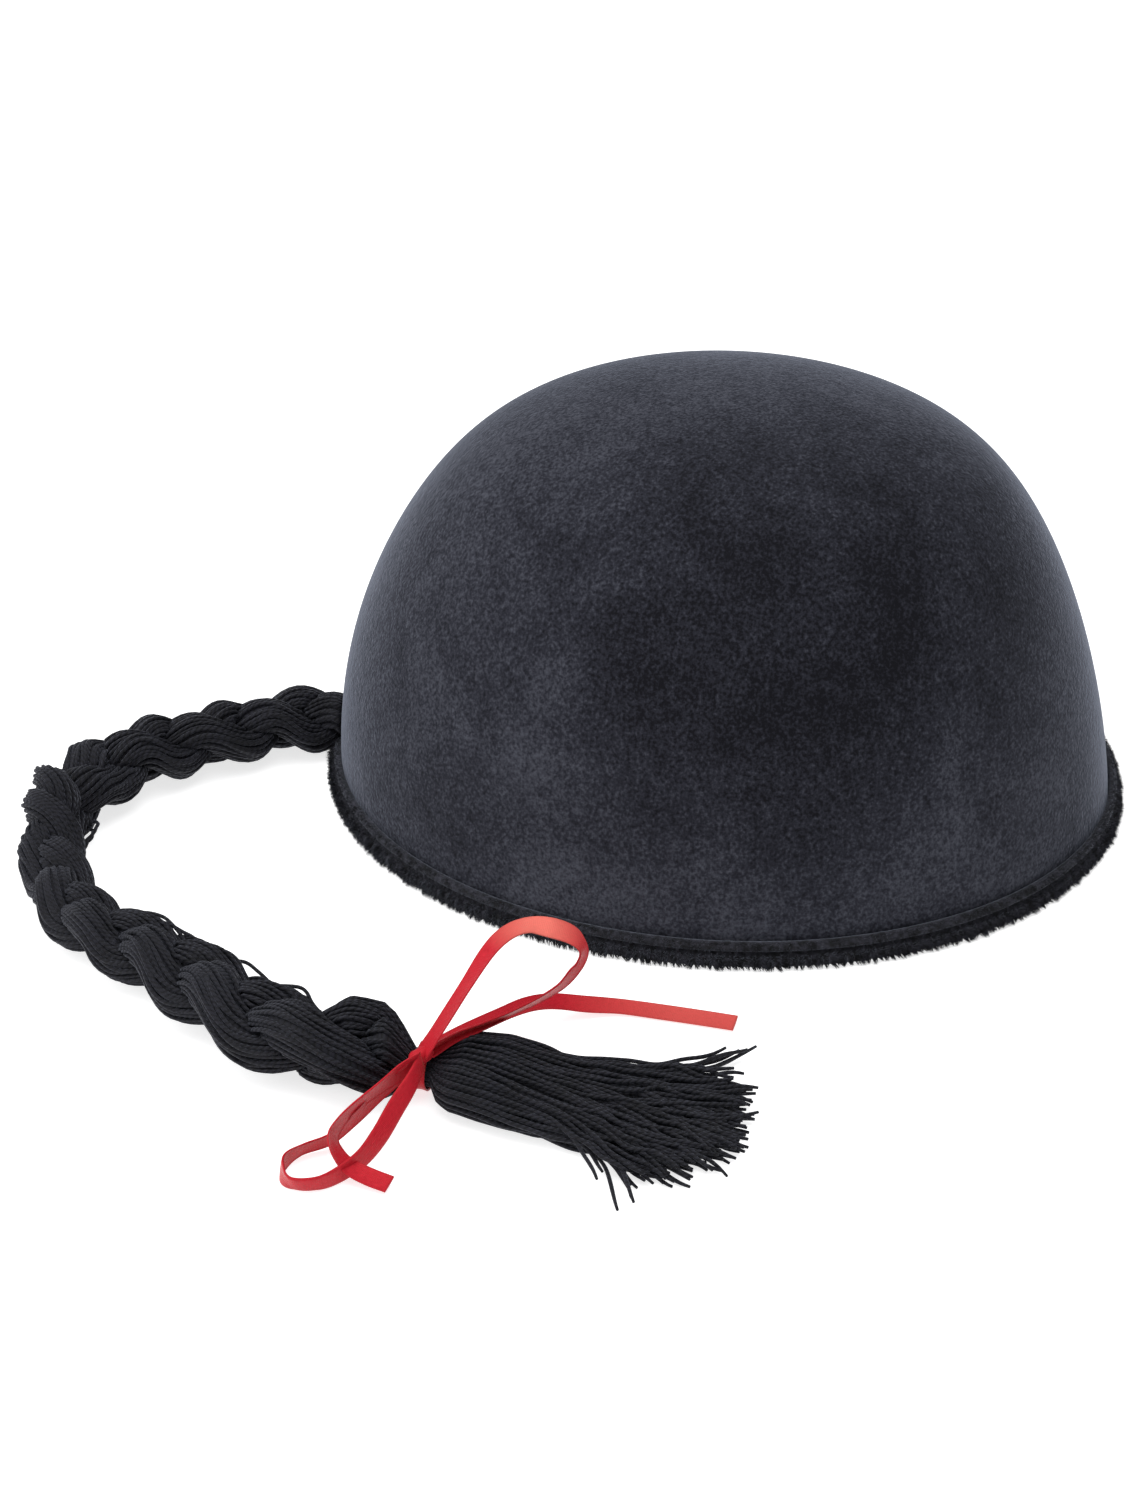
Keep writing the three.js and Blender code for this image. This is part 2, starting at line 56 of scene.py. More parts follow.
# Plait. Three strands of black two-ply yarn are plaited flat and sewn to the back of the cap's
# rim. The plait lies on the surface in a wide bend, and turns over in it. Each strand is a bundle
# of loose yarns that press flat against the strands beside it.
MM = 0.001
CAP_HALF_LENGTH = 104 * MM
PLAIT_ROUTE = MM * np.array([
    [-7, -7], [-7.4, -0.8], [-9.2, 6.8], [-12.9, 14.7], [-20.9, 24.7], [-29.3, 35.3], [-37.6, 44.2],
    [-49.6, 51.3], [-63.5, 55.2], [-78.6, 54], [-92.4, 48.6], [-107, 39.8], [-117.3, 31.2],
    [-122.7, 21.8], [-127.9, 12.8], [-133.8, 3.8], [-140.8, -5.6], [-148.8, -16.3], [-155.1, -26.4],
    [-158.9, -36.2], [-158.9, -45.6], [-156.4, -54], [-155.2, -61],
]) + [0, CAP_HALF_LENGTH]
# Columns: share of the plait's length, fullness, share of the pitch, half turns that it lies
# rolled over, and how far it is lifted by the ribbon under it, in millimetres.
PLAIT_SECTIONS = np.array([
    [0, 0.94, 0.98, 1.08, 0], [0.12, 0.94, 0.98, 1.08, 0], [0.28, 1, 0.98, 1.08, 0],
    [0.36, 0.96, 1.02, 0.8, 0], [0.44, 0.77, 1.05, 0.2, 0], [0.5, 0.75, 1.05, -0.06, 0],
    [0.58, 0.87, 1.04, -0.1, 0], [0.7, 1.02, 1.2, -0.12, 0], [0.8, 1.1, 1.34, -0.13, 0],
    [0.88, 1.18, 1.4, -0.13, 0], [0.94, 1.28, 1.44, -0.1, 0.2], [0.975, 1.22, 1.44, -0.04, 0.4],
    [1, 0.56, 1.36, 0, 1.5],
])
PLAIT_STEPS = 144
PLAIT_START = 0.012  # share of the route that lies inside the cap's rim, and is left off
PLAIT_PITCH = 60 * MM
PLAIT_START_TURN = np.radians(47)
ROUTE_STEPS = 2001
STRAND_HALF = MM * np.array([7.1, 5.4])  # half width and half height of a strand
STRAND_SWING = MM * np.array([4.3, 3.0])  # how far its middle sways and rises
SURFACE_GAP = 0.2 * MM
YARNS_IN_STRAND = 41
YARN_RADIUS = 0.52 * MM
YARN_SIDES = 5
YARN_WANDER = 0.34 * MM  # how far a yarn sinks and rises in its strand
UP = np.array([0.0, 0.0, 1.0])
chance = np.random.default_rng(11)


def smooth_line(rows, count):
    """count rows at equal steps of length along the smooth line through the rows of a table.
    Between rows b and c, with a before and d after them, it is the cubic
    (2b + (c - a)t + (2a - 5b + 4c - d)t^2 + (3b - a - 3c + d)t^3) / 2."""
    p = np.vstack([2 * rows[0] - rows[1], rows, 2 * rows[-1] - rows[-2]])
    a, b, c, d = p[:-3, None], p[1:-2, None], p[2:-1, None], p[3:, None]
    t = np.linspace(0, 1, 40, endpoint=False)[None, :, None]
    cubic = 2 * b + (c - a) * t + (2 * a - 5 * b + 4 * c - d) * t**2 + (3 * b - a - 3 * c + d) * t**3
    fine = np.vstack([cubic.reshape(-1, rows.shape[1]) / 2, rows[-1:]])
    length = np.r_[0, np.cumsum(np.linalg.norm(np.diff(fine[:, :3], axis=0), axis=1))]
    places = np.linspace(0, length[-1], count)
    return np.stack([np.interp(places, length, column) for column in fine.T], 1), length[-1]


def unit(vectors):
    """Each vector divided by its length."""
    return vectors / np.linalg.norm(vectors, axis=-1, keepdims=True)


def plait_line(count):
    """The plait's middle, the directions across and over it, its fullness and its pattern's turn.
    The turn grows by 2 pi / pitch along the length. The middle lies as high as the most that
    sway sin f sin roll + rise sin 2f cos roll reaches over all f, and half a strand's height."""
    share = np.linspace(PLAIT_START, 1, count)
    fine, length = smooth_line(PLAIT_ROUTE, ROUTE_STEPS)
    flat = np.stack([np.interp(share, np.linspace(0, 1, ROUTE_STEPS), column) for column in fine.T], 1)
    full, pitch, turned, lifted = [np.interp(share, PLAIT_SECTIONS[:, 0], c) for c in PLAIT_SECTIONS[:, 1:].T]
    step = length * np.gradient(share)
    turn = PLAIT_START_TURN + np.cumsum(2 * np.pi * step / (PLAIT_PITCH * pitch))
    roll = np.pi * turned[:, None]
    f = np.linspace(0, 2 * np.pi, 72)[None]
    swing = STRAND_SWING[0] * np.sin(f) * np.sin(roll) + STRAND_SWING[1] * np.sin(2 * f) * np.cos(roll)
    half = np.hypot(STRAND_HALF[0] * np.sin(roll), STRAND_HALF[1] * np.cos(roll))
    height = SURFACE_GAP + full * (swing.max(1) + half[:, 0]) + lifted * MM
    middle = np.column_stack([flat, height])
    ahead = unit(np.gradient(np.column_stack([flat, 0 * height]), axis=0))
    level = np.cross(UP, ahead)
    across = level * np.cos(roll) + UP * np.sin(roll)
    over = UP * np.cos(roll) - level * np.sin(roll)
    return middle, across, over, full, turn


def in_strand(number, turn, angle, inset):
    """Places in a strand, as offsets across and over the plait at fullness 1. The strand's middle
    is at (sway sin f, rise sin 2f). From it a place lies out at an angle by the strand's half
    size, or less where the line midway to a neighbour is nearer, and an inset in from there."""
    phases = turn[:, None] + 2 * np.pi * np.arange(3) / 3
    middles = np.stack([np.sin(phases), np.sin(2 * phases)], -1) * STRAND_SWING / STRAND_HALF
    out = np.stack([np.cos(angle), np.sin(angle)], -1)
    reach = np.ones(angle.shape)
    for other in {0, 1, 2} - {number}:
        to = middles[:, other] - middles[:, number]
        gap = np.linalg.norm(to, axis=-1)[:, None]
        facing = (out * to[:, None]).sum(-1) / gap
        reach = np.minimum(reach, gap / 2 / np.maximum(facing, 1e-3))
    offset = out * reach[..., None] * STRAND_HALF
    size = np.linalg.norm(offset, axis=-1, keepdims=True)
    return middles[:, None, number] * STRAND_HALF + offset * np.maximum(size - inset, 0) / size


def wander(lines, count, waves, size):
    """Smooth chance wandering for a number of lines: size times a sum of three sines of about so
    many waves along the line, each with its own length and start."""
    places = np.linspace(0, 1, count)[None, :, None]
    rate = waves * chance.uniform(0.5, 1.6, (lines, 1, 3))
    start = chance.uniform(0, 2 * np.pi, (lines, 1, 3))
    return size * np.sin(2 * np.pi * rate * places + start).sum(-1) / 1.7


def rings_round(paths, radius, sides):
    """Rings of points round paths: centre + radius (cos a level + sin a top), where level is
    square to the path and flat, and top is square to both."""
    ahead = unit(np.gradient(paths, axis=1))
    level = unit(np.cross(UP, ahead))
    top = np.cross(ahead, level)
    a = 2 * np.pi * np.arange(sides) / sides
    round_it = level[:, :, None] * np.cos(a)[:, None] + top[:, :, None] * np.sin(a)[:, None]
    return paths[:, :, None] + round_it * np.asarray(radius)[..., None, None]


def surface(points, endless=False):
    """The vertices, face corners, face sizes and corner UVs of some like surfaces, whose points
    are numbered [surface, row, column]. Each row closes round. The ends are closed by a flat
    face, or endless surfaces close the other way too. The UVs are the share of the way round,
    and the length along in metres. Each surface's share starts at its own place."""
    count, rows, columns, _ = points.shape
    row = np.arange(rows if endless else rows - 1)[:, None] + np.zeros((1, columns), int)
    column = np.arange(columns)[None] + 0 * row
    after = (row + 1) % rows
    beside = (column + 1) % columns
    quads = np.stack([row * columns + column, row * columns + beside, after * columns + beside,
                      after * columns + column], -1).reshape(-1)
    ends = [] if endless else [np.arange(columns)[::-1], (rows - 1) * columns + np.arange(columns)]
    corners = np.concatenate([quads, *ends])
    sizes = np.concatenate([np.full(row.size, 4), [columns] * len(ends)]).astype(int)
    steps = np.linalg.norm(np.diff(points.mean(2), axis=1, append=points[:, :1].mean(2)), axis=2)
    along = np.concatenate([np.zeros((count, 1)), np.cumsum(steps, 1)], 1)
    u = (column[..., None] + [0, 1, 1, 0]) / columns
    v = along[:, row[..., None] + [0, 0, 1, 1]].reshape(count, -1)
    uv = np.stack([u.reshape(1, -1) + np.floor(1e4 * np.sin(np.arange(count)))[:, None] / 64, v], -1)
    flat = np.stack([np.full((count, columns * len(ends)), 0.5),
                     np.repeat(along[:, [0, rows - 1]][:, :len(ends)], columns, 1)], -1)
    shift = (np.arange(count) * rows * columns)[:, None]
    return (points.reshape(-1, 3), (corners[None] + shift).ravel(), np.tile(sizes, count),
            np.concatenate([uv, flat], 1).reshape(-1, 2))


def piece(name, parts, material, smooth=True):
    """A mesh object at the origin from parts as surface() gives them, joined in one."""
    mesh = bpy.data.meshes.new(name)
    firsts = np.r_[0, np.cumsum([len(vertices) for vertices, *_ in parts])]
    vertices = np.concatenate([part[0] for part in parts])
    corners = np.concatenate([part[1] + first for part, first in zip(parts, firsts)])
    sizes = np.concatenate([part[2] for part in parts])
    mesh.vertices.add(len(vertices))
    mesh.vertices.foreach_set("co", vertices.astype(np.float32).ravel())
    mesh.loops.add(len(corners))
    mesh.loops.foreach_set("vertex_index", corners.astype(np.int32))
    mesh.polygons.add(len(sizes))
    mesh.polygons.foreach_set("loop_start", (np.cumsum(sizes) - sizes).astype(np.int32))
    mesh.polygons.foreach_set("use_smooth", np.full(len(sizes), smooth))
    mesh.update(calc_edges=True)
    layer = mesh.uv_layers.new(name="UVMap")
    layer.data.foreach_set("uv", np.concatenate([part[3] for part in parts]).astype(np.float32).ravel())
    mesh.validate()
    mesh.materials.append(material)
    made = bpy.data.objects.new(name, mesh)
    bpy.context.scene.collection.objects.link(made)
    return made


class Finish:
    """A material under construction: its nodes are added one by one and linked as they are."""

    def __init__(self, name, **sockets):
        self.material = bpy.data.materials.new(name)
        self.material.use_nodes = True
        self.tree = self.material.node_tree
        self.shader = self.tree.nodes["Principled BSDF"]
        for socket, value in sockets.items():
            self.shader.inputs[socket.replace("_", " ")].default_value = value

    def node(self, kind, inputs=(), **settings):
        """A node with its settings, whose inputs are numbers or other nodes' outputs."""
        made = self.tree.nodes.new("ShaderNode" + kind)
        for setting, value in settings.items():
            setattr(made, setting, value)
        for key, value in dict(inputs).items():
            if isinstance(value, bpy.types.NodeSocket):
                self.tree.links.new(value, made.inputs[key])
            else:
                made.inputs[key].default_value = value
        return made

    def maths(self, operation, *values):
        return self.node("Math", enumerate(values), operation=operation).outputs[0]

    def noise(self, vector, scale, detail=3.0, roughness=0.55, distortion=0.0):
        inputs = {"Vector": vector, "Scale": scale, "Detail": detail, "Roughness": roughness,
                  "Distortion": distortion}
        return self.node("TexNoise", inputs).outputs["Fac"]

    def ramp(self, value, stops):
        """Colours between stops of (place, grey or colour)."""
        made = self.node("ValToRGB", {"Fac": value})
        made.color_ramp.elements.remove(made.color_ramp.elements[1])
        for i, (place, colour) in enumerate(stops):
            colour = (colour,) * 3 if np.isscalar(colour) else colour
            element = made.color_ramp.elements[0] if i == 0 else made.color_ramp.elements.new(place)
            element.position = place
            element.color = (*colour, 1)
        return made.outputs["Color"]

    def bump(self, height, distance, strength=1.0, after=None):
        inputs = {"Height": height, "Distance": distance, "Strength": strength}
        if after is not None:
            inputs["Normal"] = after
        return self.node("Bump", inputs).outputs["Normal"]

    def set(self, socket, output):
        self.tree.links.new(output, self.shader.inputs[socket])


# The yarn is twisted from two plies, which show as slanting grooves, and has a dull fuzzy face.
PLY_PITCH = 3.4 * MM
yarn = Finish("black_yarn", Roughness=0.75, Sheen_Weight=0.12, Sheen_Roughness=0.4,
              Sheen_Tint=(0.7, 0.74, 0.9, 1), Specular_IOR_Level=0.22)
yarn_place = yarn.node("TexCoord")
yarn_uv = yarn.node("SeparateXYZ", {"Vector": yarn_place.outputs["UV"]}).outputs
ply_turn = yarn.maths("ADD", yarn_uv[0], yarn.maths("DIVIDE", yarn_uv[1], PLY_PITCH))
ply = yarn.maths("ABSOLUTE", yarn.maths("SINE", yarn.maths("MULTIPLY", ply_turn, 2 * np.pi)))
yarn_fuzz = yarn.noise(yarn_place.outputs["Object"], 2600, 4)
yarn_height = yarn.maths("ADD", ply, yarn.maths("MULTIPLY", yarn_fuzz, 0.7))
# The base colour is a random tone, darkened in the grooves between the plies as painted shade.
yarn_tone_and_groove_shade = yarn.maths("MULTIPLY", yarn.maths("POWER", ply, 0.6), yarn.noise(
    yarn_place.outputs["Object"], 160, 4))
yarn.set("Base Color", yarn.ramp(yarn_tone_and_groove_shade, [
    (0.1, (0.0012, 0.0012, 0.0018)), (0.6, (0.0085, 0.0085, 0.0135))]))
yarn.set("Normal", yarn.bump(yarn_height, 0.22 * MM, 0.8))


def plait_yarns(number, line):
    """The rings round one strand's yarns. A yarn keeps its angle in the strand but for a little
    wandering, and some stand a little out from the others."""
    middle, across, over, full, turn = line
    count = len(middle)
    even = 2 * np.pi * (np.arange(YARNS_IN_STRAND) + 0.5 * (number % 2)) / YARNS_IN_STRAND
    angle = even + wander(YARNS_IN_STRAND, count, 6, 0.12).T
    deep = YARN_RADIUS * (0.9 + 0.7 * chance.random(YARNS_IN_STRAND)) + wander(
        YARNS_IN_STRAND, count, 9, YARN_WANDER).T
    place = in_strand(number, turn, angle, deep[..., None]) * full[:, None, None]
    paths = middle[:, None] + place[..., :1] * across[:, None] + place[..., 1:] * over[:, None]
    paths[..., 2] = np.maximum(paths[..., 2], YARN_RADIUS + SURFACE_GAP / 2)
    slim = np.interp(np.linspace(0, 1, count), [0, 0.93, 1], [1, 1, 0.7])
    radius = YARN_RADIUS * slim * chance.uniform(0.92, 1.08, YARNS_IN_STRAND)[:, None]
    return surface(rings_round(paths.transpose(1, 0, 2), radius, YARN_SIDES))


def strand_core(number, line, sides=14):
    """The dark inner yarns of a strand as one solid, two yarns' radii in from its outside."""
    middle, across, over, full, turn = line
    angle = np.broadcast_to(2 * np.pi * np.arange(sides) / sides, (len(middle), sides))
    place = in_strand(number, turn, angle, 2 * YARN_RADIUS) * full[:, None, None]
    points = middle[:, None] + place[..., :1] * across[:, None] + place[..., 1:] * over[:, None]
    return surface(points[None])


# Loose yarns that bow out of the plait's edge: the side, where each leaves and rejoins it as
# shares of its length, how far it bows out beyond the least, and how high it lies, in millimetres.
PLAIT_EDGE = 7.6 * MM  # from the plait's middle to where a loose yarn leaves it, at fullness 1
LEAST_BOW = 2.8
STRAY_YARNS = np.array([
    [-1, 0.36, 0.415, 1.0, 9], [-1, 0.365, 0.42, 0.2, 7], [-1, 0.55, 0.64, 1.4, 10],
    [-1, 0.575, 0.68, 4.4, 9], [-1, 0.58, 0.69, 3.0, 12], [-1, 0.61, 0.73, 1.6, 12],
    [-1, 0.63, 0.75, 4.2, 9], [-1, 0.64, 0.76, 3.2, 10], [-1, 0.67, 0.79, 1.8, 12],
    [-1, 0.70, 0.82, 3.7, 11], [-1, 0.75, 0.88, 2.2, 12], [-1, 0.76, 0.88, 3.1, 9],
    [-1, 0.77, 0.89, 3.7, 11], [-1, 0.775, 0.9, 2.8, 13], [-1, 0.78, 0.89, 1.6, 13],
    [1, 0.11, 0.16, 0.6, 12], [1, 0.25, 0.30, 0.8, 12],
])


def stray_yarns(count=40):
    """Yarns beside the plait. Each lies at the plait's edge and bows out nearly as a half sine."""
    fine, length = smooth_line(PLAIT_ROUTE, ROUTE_STEPS)
    side, start, end, bow, high = STRAY_YARNS.T[:, :, None]
    share = start + (end - start) * np.linspace(0, 1, count)[None]
    flat = np.stack([np.interp(share, np.linspace(0, 1, ROUTE_STEPS), column) for column in fine.T], -1)
    ahead = unit(np.gradient(flat, axis=1))
    level = np.stack([-ahead[..., 1], ahead[..., 0]], -1)
    full = np.interp(share, PLAIT_SECTIONS[:, 0], PLAIT_SECTIONS[:, 1])
    swell = np.sin(np.pi * np.linspace(0, 1, count))[None]
    out = full * PLAIT_EDGE + (bow + LEAST_BOW) * MM * swell**0.8 + wander(len(start), count, 2, 0.3 * MM)
    height = full * high * MM * (0.5 + 0.4 * swell**0.5) + wander(len(start), count, 2, 0.3 * MM)
    paths = np.concatenate([flat - side[..., None] * out[..., None] * level, height[..., None]], -1)
    return surface(rings_round(paths, np.full(height.shape, 0.95 * YARN_RADIUS), YARN_SIDES))


plait = plait_line(PLAIT_STEPS)
plait_parts = [plait_yarns(number, plait) for number in range(3)]
plait_parts += [strand_core(number, plait) for number in range(3)]
braid = piece("braid", [*plait_parts, stray_yarns()], yarn.material)
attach(braid, "root")
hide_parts("braid_strand_1", "braid_strand_2", "braid_strand_3")


# Tassel. Past the ribbon the yarns of all three strands hang loose. They bulge as they come out of
# the tie, then lie flat on the surface and fan out to tips that were cut by hand.
TASSEL_PLACE = np.array([-154.8, 44.2, 0]) * MM
TASSEL_HEADING = np.radians(-93)
TASSEL_LENGTH = 75 * MM
TASSEL_HALF_WIDTH = 31 * MM
WAIST_HALF = MM * np.array([5.5, 4.6])
WAIST_HEIGHT = 6.6 * MM
TASSEL_START = 6.9 * MM
TASSEL_YARNS = 210
YARNS_START = -0.12  # the share of the tassel's length, inside the tie, where its yarns start
SLOW_WANDER = 2.4 * MM
QUICK_WANDER = 0.5 * MM
# The yarns nearest to the tassel's two edges that stand out from it, counted from either edge, and
# how far each one's tip curls aside, in millimetres.
STANDING_OUT = [0, 1, 3, -1, -2, -4, -7, -9]
STANDING_OUT_CURL = [-10, -8, -5, 4, 8, 5, 9, 6]
# Columns: share of the tassel's length, half width in shares, half height in millimetres, and how
# far its middle sways towards the camera's side, in millimetres.
TASSEL_SECTIONS = np.array([
    [-0.12, 0.16, 3.6, 0], [0, 0.187, 4.5, 0], [0.035, 0.33, 6.1, 0.5], [0.09, 0.45, 7.2, 0.7],
    [0.2, 0.5, 7.0, 0.8], [0.36, 0.52, 5.2, 0.8], [0.58, 0.61, 3.8, 1.0], [0.8, 0.76, 2.6, 2.2],
    [1, 0.97, 2.2, 4.6],
])


def tassel_yarns(count=66):
    """The tassel's yarns. A yarn starts at a place in the tie's oval, spread evenly by the golden
    angle. Its place across and over the tassel keeps its share of the tassel's half width and
    height, while the oval spreads to a flat band. It wanders more towards its tip, where the
    yarns at the edges, and some others, curl aside."""
    number = np.arange(TASSEL_YARNS)
    radius = np.sqrt((number + 0.5) / TASSEL_YARNS)
    angle = number * np.pi * (3 - np.sqrt(5))
    side, over = radius * np.cos(angle), radius * np.sin(angle)
    band = np.clip(side / np.sqrt(1.04 - over**2), -1, 1) * chance.uniform(0.94, 1.0, TASSEL_YARNS)
    end = chance.uniform(0.87, 1.02, TASSEL_YARNS) - np.where(band > 0, 0.3, 0.09) * band**2
    share = YARNS_START + (end[:, None] - YARNS_START) * np.linspace(0, 1, count)[None]
    wide, high, sway = [np.interp(share, TASSEL_SECTIONS[:, 0], c) for c in TASSEL_SECTIONS[:, 1:].T]
    spread = np.clip(share / 0.7, 0, 1) ** 1.5
    x = (side[:, None] * (1 - spread) + band[:, None] * spread) * (wide * TASSEL_HALF_WIDTH - YARN_RADIUS)
    slow = wander(TASSEL_YARNS, count, 1.2, SLOW_WANDER)
    quick = wander(TASSEL_YARNS, count, 4, QUICK_WANDER)
    x += slow * spread + quick * spread
    own_curl = 6 * chance.normal(0, 1, TASSEL_YARNS) * (chance.random(TASSEL_YARNS) < 0.2)
    curl = 5 * band * np.abs(band) ** 3 + own_curl
    curl[np.argsort(band)[STANDING_OUT]] += STANDING_OUT_CURL
    x += (sway + curl[:, None] * np.clip((share / end[:, None] - 0.7) / 0.3, 0, 1) ** 2) * MM
    half = high * MM
    middle = np.where(share < 0, WAIST_HEIGHT, half + SURFACE_GAP)
    middle = np.interp(share, [YARNS_START, 0, 0.1], [1, 1, 0]) * (WAIST_HEIGHT - middle) + middle
    z = middle + over[:, None] * (half - YARN_RADIUS) + wander(TASSEL_YARNS, count, 5, 0.3 * MM) * spread
    z = np.maximum(z, YARN_RADIUS + SURFACE_GAP)
    y = TASSEL_START + share * TASSEL_LENGTH
    ahead = np.array([np.cos(TASSEL_HEADING), np.sin(TASSEL_HEADING), 0])
    level = np.array([ahead[1], -ahead[0], 0])
    paths = TASSEL_PLACE + x[..., None] * level + y[..., None] * ahead + z[..., None] * UP
    along = np.linspace(0, 1, count)
    radius = YARN_RADIUS * np.interp(along, [0, 0.1, 0.2, 0.95, 1], [0.75, 0.8, 1, 1, 0.7])
    return surface(rings_round(paths, radius[None] + 0 * share, 6))


tassel = piece("tassel_yarns", [tassel_yarns()], yarn.material)
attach(tassel, "root")
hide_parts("tassel")


# Ribbon. One length of narrow red satin goes round the waist of the plait and is tied in a bow:
# one loop stands up in an arch, the other lies out on the surface, and each tail is cut straight.
RIBBON_HALF_WIDTH = 2.55 * MM
RIBBON_HALF_THICKNESS = 0.22 * MM
TIE_MIDDLE = MM * np.array([-157.5, 41.0])
ROUND_PLACE = 3.6 * MM  # how far along from TASSEL_PLACE the ribbon goes round the waist
ROUND_GAP = 0.5 * MM
CREASE = 0.35 * MM
KNOT_HALF = MM * np.array([3.2, 2.2, 2.0])
KNOT_PLACE = np.array([*(TIE_MIDDLE - MM * np.array([3.2, 1.2])), 13.6 * MM])
KNOT_SLANT = np.radians(-35)
# Each row: the place from the middle of the tie, the height over the surface, and the way that
# the ribbon's width points.
STANDING_LOOP = [
    [-3.3, -1.5, 14.0, -0.7, -0.7, 0.2], [-1.4, -3.8, 18.0, -0.7, -0.7, 0.3],
    [2.0, -6.2, 22.0, -0.7, -0.7, 0.3], [7.3, -9.8, 28.0, -0.7, -0.7, 0.3],
    [14.8, -13.4, 33.2, -0.6, -0.8, 0.2], [21.0, -16.6, 34.8, -0.6, -0.8, 0.0],
    [24.5, -20.8, 35.2, -0.9, -0.4, -0.2], [25.1, -26.0, 34.8, -0.8, 0.0, -0.5],
    [26.0, -30.4, 33.0, -0.9, 0.1, -0.3], [26.2, -33.0, 30.2, -1, 0, 0],
    [26.2, -33.1, 26.6, -1, 0.3, 0.1], [25.7, -31.4, 23.3, -0.8, 0.3, 0.5],
    [24.2, -28.4, 19.4, -0.7, 0.1, 0.6], [21.5, -23.2, 16.2, -0.7, -0.1, 0.7],
    [17.2, -16.7, 13.9, -0.6, -0.3, 0.7], [11.6, -10.6, 13.0, -0.5, -0.4, 0.8],
    [5.6, -6.1, 13.0, -0.2, -0.4, 0.9], [-2.1, -2.0, 13.4, -0.1, -0.4, 0.9],
]
FAR_TAIL = [
    [-2.0, -2.0, 13.2, -0.4, -0.9, 0.1], [6.2, -5.8, 12.8, -0.5, -0.9, 0.1],
    [12.8, -10.1, 12.4, -0.5, -0.9, 0], [22.3, -15.5, 11.0, -0.5, -0.9, 0],
    [30.9, -19.5, 8.5, -0.5, -0.8, -0.2], [37.6, -23.9, 5.5, -0.7, -0.6, -0.3],
    [41.8, -30.6, 3.0, -0.9, -0.4, -0.3], [45.0, -38.5, 1.4, -1, -0.2, -0.15],
    [45.3, -48.9, 1.1, -1, 0, -0.15], [45.0, -58.5, 1.1, -1, 0.1, -0.15],
    [44.6, -66.8, 1.1, -1, 0.1, -0.15],
]
LYING_LOOP = [
    [-5.0, -1.8, 14.0, -0.3, 0.1, 1], [-9.4, 1.2, 12.5, -0.4, 0, 0.9],
    [-14.5, 5.8, 9.5, -0.4, 0.1, 0.9], [-20.6, 10.1, 6.0, -0.4, 0, 0.9],
    [-26.4, 14.5, 3.4, -0.4, -0.1, 0.9], [-31.0, 20.0, 2.7, -0.3, -0.3, 0.9],
    [-36.6, 22.7, 2.7, 0, -0.1, 1], [-41.4, 22.0, 2.7, 0.1, -0.1, 1],
    [-44.5, 18.6, 2.7, -0.4, 0.1, 0.9], [-43.7, 13.9, 2.7, -0.3, -0.2, 0.9],
    [-40.0, 9.9, 2.7, -0.1, -0.1, 1], [-32.9, 5.6, 3.4, -0.1, 0.2, 1],
    [-26.1, 3.0, 5.5, -0.2, 0.5, 0.9], [-18.5, 0.8, 9.0, -0.2, 0.5, 0.8],
    [-12.1, -1.4, 12.2, -0.2, 0.3, 0.9], [-5.5, -2.0, 13.4, -0.2, 0.2, 1],
]
NEAR_TAIL = [
    [-6.4, -1.8, 14.6, -0.2, 0, 1], [-10.7, 1.6, 13.5, -0.2, 0.1, 1],
    [-15.9, 5.4, 12.0, -0.5, 0.0, 0.9], [-21.7, 9.7, 10.0, -0.6, 0.0, 0.8],
    [-27.2, 12.2, 8.3, -0.6, 0.1, 0.8], [-31.0, 12.6, 6.8, -0.6, 0.3, 0.7],
    [-34.2, 10.4, 5.0, -0.8, 0.5, 0.5], [-36.8, 6.7, 3.6, -0.9, 0.4, 0],
    [-38.0, 2.3, 2.6, -1, 0.2, -0.2], [-38.8, -2.8, 1.8, -1, 0.1, -0.2],
]


def ribbon_section(columns=9):
    """Points round the ribbon's section, in shares of its half width and half thickness: along
    one face and back along the other, each a little crowned, with the edges rounded off."""
    across = np.cos(np.linspace(0, np.pi, columns))
    crown = 1 + 0.6 * (1 - across**2)
    face = np.column_stack([across, crown * np.where(np.abs(across) > 0.999, 0.5, 1)])
    back = np.column_stack([across[::-1], face[::-1, 1] - 2 * face[::-1, 1].min() - 1])
    return np.concatenate([face, back])


def ribbon_length(rows):
    """A length of ribbon: its middle and its width's direction follow the table's smooth line,
    and the section is set square to it."""
    table = np.array(rows, float)
    table[:, :3] *= MM
    line, _ = smooth_line(table, 12 * len(rows))
    middle = line[:, :3] + [*TIE_MIDDLE, 0]
    ahead = unit(np.gradient(middle, axis=0))
    across = line[:, 3:] - (line[:, 3:] * ahead).sum(1, keepdims=True) * ahead
    across = unit(across)
    through = np.cross(ahead, across)
    section = ribbon_section()
    points = middle[:, None] + across[:, None] * section[:, :1] * RIBBON_HALF_WIDTH
    points = points + through[:, None] * section[:, 1:] * RIBBON_HALF_THICKNESS
    return surface(points[None])


